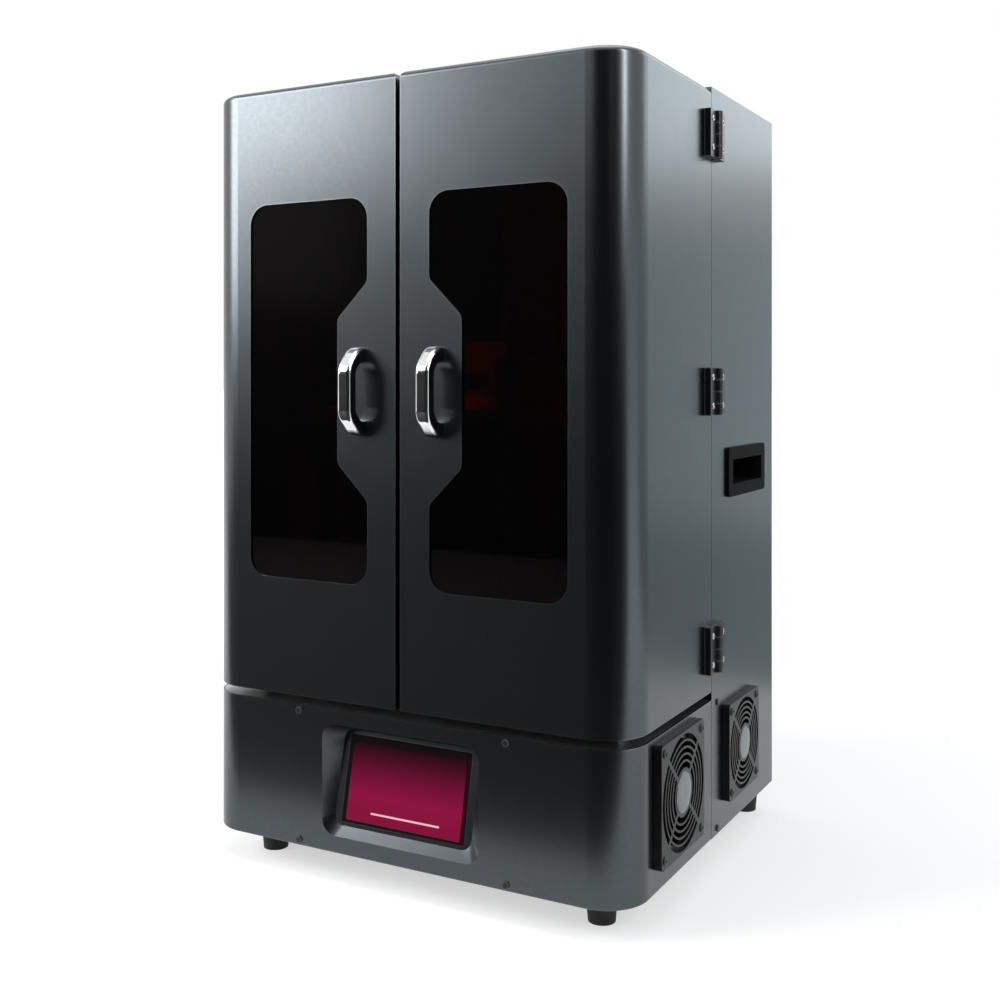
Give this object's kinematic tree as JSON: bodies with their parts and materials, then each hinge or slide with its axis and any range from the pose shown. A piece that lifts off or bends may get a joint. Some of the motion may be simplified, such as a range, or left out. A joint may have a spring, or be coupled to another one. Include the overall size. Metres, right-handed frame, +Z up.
{
  "type": "resin printer",
  "caption": "Tall cabinet resin printer with wrap-around double doors, tinted windows, chrome handles, a leaning touch screen and a lift over a resin vat.",
  "frame": {"origin": "on the floor under the middle of the machine's bounding box", "axes": "+Z up, -Y out of the front doors, +X to the right seen from the front"},
  "size_m": [0.3884, 0.35, 0.614],
  "materials": {
    "painted_steel": "satin metallic dark grey paint",
    "black_plastic": "satin black",
    "hinge_black": "semi-gloss black",
    "tinted_acrylic": "gloss dark red tint",
    "chrome": "bright chrome",
    "rubber": "matte black",
    "screw_black": "black oxide",
    "screen_glass": "gloss",
    "aluminium": "brushed",
    "steel": "ground",
    "brass": "machined",
    "film": "clear gloss",
    "light_box": "matte white",
    "board": "solder mask"
  },
  "bodies": {
    "cabinet": {"back_panel": "painted_steel", "base_front_cover": "painted_steel", "base_pan": "painted_steel", "cover_screws": "screw_black", "data_ports": "steel", "deck_plate": "aluminium", "deck_posts": "steel", "hinge_cabinet_leaves": "hinge_black", "lcd_glass": "screen_glass", "led_heat_sink": "aluminium", "left_carry_handle": "black_plastic", "left_front_fan_frame": "black_plastic", "left_front_fan_guard": "black_plastic", "left_rear_fan_frame": "black_plastic", "left_rear_fan_guard": "black_plastic", "left_side_panel": "painted_steel", "light_box": "light_box", "linear_rails": "steel", "main_board": "board", "power_inlet": "black_plastic", "power_supply": "steel", "right_carry_handle": "black_plastic", "right_front_fan_frame": "black_plastic", "right_front_fan_guard": "black_plastic", "right_rear_fan_frame": "black_plastic", "right_rear_fan_guard": "black_plastic", "right_side_panel": "painted_steel", "rubber_feet": "rubber", "screw_bearing": "aluminium", "top_panel": "painted_steel", "touch_screen": "screen_glass", "vat_film": "film", "vat_frame": "aluminium", "vat_thumb_screws": "black_plastic", "z_column": "aluminium", "z_motor": "steel"},
    "left_door": {"left_door_handle": "chrome", "left_door_shell": "painted_steel", "left_hinge_door_leaves": "hinge_black", "left_window_pane": "tinted_acrylic", "left_window_retainer": "steel"},
    "right_door": {"right_door_handle": "chrome", "right_door_shell": "painted_steel", "right_hinge_door_leaves": "hinge_black", "right_window_pane": "tinted_acrylic", "right_window_retainer": "steel"},
    "carriage": {"carriage_plate": "aluminium", "guide_blocks": "steel", "screw_nut": "brass", "carriage_arm": "aluminium", "build_plate": "aluminium", "platform_mount": "aluminium"},
    "z_screw": {"lead_screw": "steel", "shaft_coupler": "aluminium"},
    "platform_knob": {"platform_knob": "black_plastic"},
    "power_switch": {"power_switch": "black_plastic"},
    "left_front_fan_rotor": {"left_front_fan_rotor": "black_plastic"},
    "left_rear_fan_rotor": {"left_rear_fan_rotor": "black_plastic"},
    "right_front_fan_rotor": {"right_front_fan_rotor": "black_plastic"},
    "right_rear_fan_rotor": {"right_rear_fan_rotor": "black_plastic"}
  },
  "joints": [
    {"name": "left_door_swing", "type": "hinge", "parent": "cabinet", "child": "left_door", "pos_m": [-0.1897, 0.012, 0.375], "axis": [0, 0, -1], "range_deg": [0, 140]},
    {"name": "right_door_swing", "type": "hinge", "parent": "cabinet", "child": "right_door", "pos_m": [0.1897, 0.012, 0.375], "axis": [0, 0, 1], "range_deg": [0, 140]},
    {"name": "z_travel", "type": "slide", "parent": "cabinet", "child": "carriage", "axis": [0, 0, 1], "range_m": [-0.2155, 0.19]},
    {"name": "z_screw_turn", "type": "hinge", "parent": "cabinet", "child": "z_screw", "pos_m": [0, 0.132, 0.375], "axis": [0, 0, 1], "range_deg": [-9800, 8700]},
    {"name": "platform_knob_turn", "type": "hinge", "parent": "carriage", "child": "platform_knob", "pos_m": [0, -0.045, 0.383], "axis": [0, 1, 0], "continuous": true},
    {"name": "power_switch_rock", "type": "hinge", "parent": "cabinet", "child": "power_switch", "pos_m": [-0.118, 0.169, 0.078], "axis": [1, 0, 0], "range_deg": [-6, 6]},
    {"name": "left_front_fan_spin", "type": "hinge", "parent": "cabinet", "child": "left_front_fan_rotor", "pos_m": [-0.17, -0.0645, 0.084], "axis": [1, 0, 0], "continuous": true},
    {"name": "left_rear_fan_spin", "type": "hinge", "parent": "cabinet", "child": "left_rear_fan_rotor", "pos_m": [-0.17, 0.0785, 0.084], "axis": [1, 0, 0], "continuous": true},
    {"name": "right_front_fan_spin", "type": "hinge", "parent": "cabinet", "child": "right_front_fan_rotor", "pos_m": [0.17, -0.0645, 0.084], "axis": [1, 0, 0], "continuous": true},
    {"name": "right_rear_fan_spin", "type": "hinge", "parent": "cabinet", "child": "right_rear_fan_rotor", "pos_m": [0.17, 0.0785, 0.084], "axis": [1, 0, 0], "continuous": true}
  ],
  "couplings": [
    {"joint": "z_screw_turn", "follows": "z_travel", "rad_per_m": 785.4}
  ]
}
